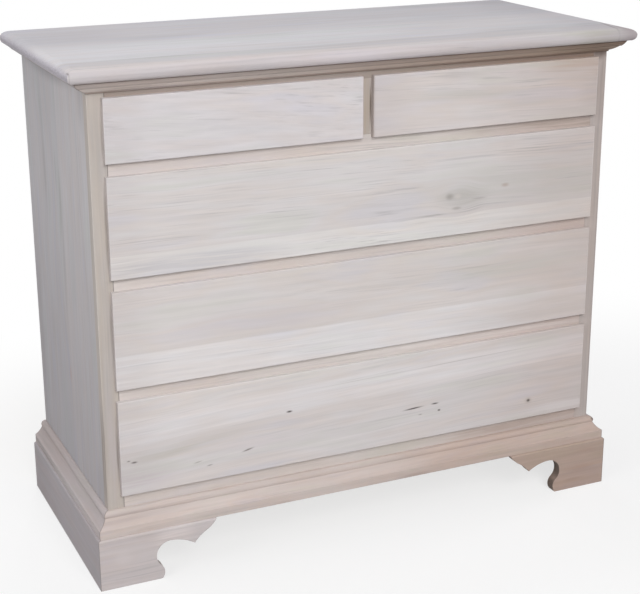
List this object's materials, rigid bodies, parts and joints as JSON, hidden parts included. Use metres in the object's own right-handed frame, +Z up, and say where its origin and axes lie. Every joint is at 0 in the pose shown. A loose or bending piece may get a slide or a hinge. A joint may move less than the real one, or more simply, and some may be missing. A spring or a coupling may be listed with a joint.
{
  "type": "chest of drawers",
  "caption": "Low chest of drawers in raw pale wood: small drawers side by side over wide lipped drawers, nosed top, mouldings above and below, scrolled bracket feet.",
  "frame": {"origin": "on the floor, in the middle of the chest's box", "axes": "+X to the right of someone who faces the drawers, +Y to the back, +Z up"},
  "size_m": [1.0666, 0.472, 0.9144],
  "materials": {
    "case_wood": "raw, sanded",
    "drawer_front_wood": "raw, sanded",
    "drawer_side_wood": "raw, planed",
    "inner_wood": "raw, sawn",
    "plywood": "raw, sanded",
    "screw_steel": "zinc plated"
  },
  "bodies": {
    "case": {"back_panel": "plywood", "base_front": "case_wood", "base_left": "case_wood", "base_right": "case_wood", "bottom_back_rail": "inner_wood", "bottom_rail": "case_wood", "centre_runner": "inner_wood", "centre_stile": "case_wood", "corner_blocks": "inner_wood", "crown_front": "case_wood", "crown_left": "case_wood", "crown_right": "case_wood", "front_foot_left": "case_wood", "front_foot_right": "case_wood", "lower_rail": "case_wood", "lower_runner_left": "inner_wood", "lower_runner_right": "inner_wood", "middle_rail": "case_wood", "middle_runner_left": "inner_wood", "middle_runner_right": "inner_wood", "side_panel_left": "case_wood", "side_panel_right": "case_wood", "side_skirt_left": "case_wood", "side_skirt_right": "case_wood", "stile_left": "case_wood", "stile_right": "case_wood", "top_back_rail": "inner_wood", "top_panel": "case_wood", "top_rail": "case_wood", "top_runner_left": "inner_wood", "top_runner_right": "inner_wood", "top_screws": "screw_steel", "upper_rail": "case_wood", "upper_runner_left": "inner_wood", "upper_runner_right": "inner_wood"},
    "top_left_drawer": {"top_left_drawer_back": "drawer_side_wood", "top_left_drawer_bottom": "plywood", "top_left_drawer_front": "drawer_front_wood", "top_left_drawer_left_side": "drawer_side_wood", "top_left_drawer_right_side": "drawer_side_wood"},
    "top_right_drawer": {"top_right_drawer_back": "drawer_side_wood", "top_right_drawer_bottom": "plywood", "top_right_drawer_front": "drawer_front_wood", "top_right_drawer_left_side": "drawer_side_wood", "top_right_drawer_right_side": "drawer_side_wood"},
    "upper_drawer": {"upper_drawer_back": "drawer_side_wood", "upper_drawer_bottom": "plywood", "upper_drawer_front": "drawer_front_wood", "upper_drawer_left_side": "drawer_side_wood", "upper_drawer_right_side": "drawer_side_wood"},
    "middle_drawer": {"middle_drawer_back": "drawer_side_wood", "middle_drawer_bottom": "plywood", "middle_drawer_front": "drawer_front_wood", "middle_drawer_left_side": "drawer_side_wood", "middle_drawer_right_side": "drawer_side_wood"},
    "lower_drawer": {"lower_drawer_back": "drawer_side_wood", "lower_drawer_bottom": "plywood", "lower_drawer_front": "drawer_front_wood", "lower_drawer_left_side": "drawer_side_wood", "lower_drawer_right_side": "drawer_side_wood"}
  },
  "joints": [
    {"name": "top_left_drawer_slide", "type": "slide", "parent": "case", "child": "top_left_drawer", "axis": [0, -1, 0], "range_m": [0, 0.3]},
    {"name": "top_right_drawer_slide", "type": "slide", "parent": "case", "child": "top_right_drawer", "axis": [0, -1, 0], "range_m": [0, 0.3]},
    {"name": "upper_drawer_slide", "type": "slide", "parent": "case", "child": "upper_drawer", "axis": [0, -1, 0], "range_m": [0, 0.3]},
    {"name": "middle_drawer_slide", "type": "slide", "parent": "case", "child": "middle_drawer", "axis": [0, -1, 0], "range_m": [0, 0.3]},
    {"name": "lower_drawer_slide", "type": "slide", "parent": "case", "child": "lower_drawer", "axis": [0, -1, 0], "range_m": [0, 0.3]}
  ]
}
